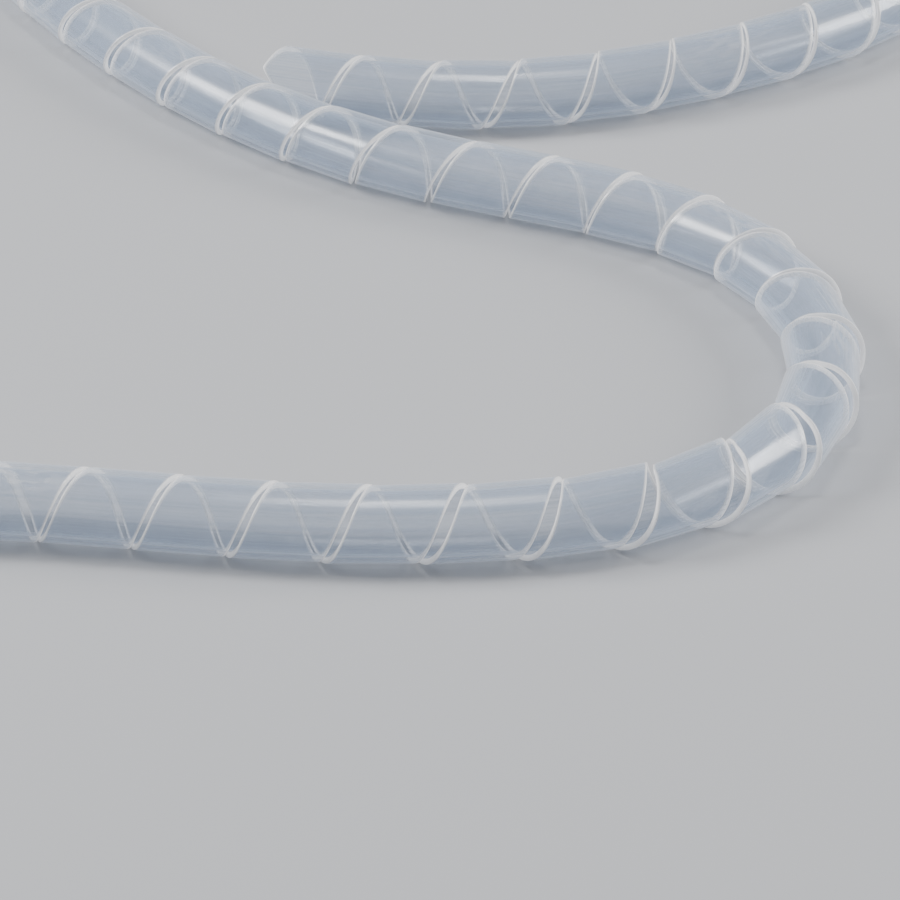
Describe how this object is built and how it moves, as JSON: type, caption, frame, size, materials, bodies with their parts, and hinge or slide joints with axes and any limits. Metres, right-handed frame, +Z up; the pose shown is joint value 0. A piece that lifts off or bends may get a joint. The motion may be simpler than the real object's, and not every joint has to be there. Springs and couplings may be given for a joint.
{
  "type": "spiral cable wrap",
  "caption": "Clear plastic tube slit along a left-handed helix, lying in loose flat bends, that winds round cables to bundle them.",
  "frame": {"origin": "On the floor that the wrap lies on, under the middle of its bounding box", "axes": "+Z is up from the floor, +Y runs from the front strand to the loops at the back, which is the longest way across the piece, and +X is to the right of the camera"},
  "size_m": [0.212, 0.2896, 0.012],
  "materials": {
    "clear_polyethylene": "Translucent natural polyethylene, smooth as extruded, with fine lengthwise lines and cut edges that catch the light"
  },
  "bodies": {
    "root": {"spiral_wrap": "clear_polyethylene"}
  },
  "joints": []
}
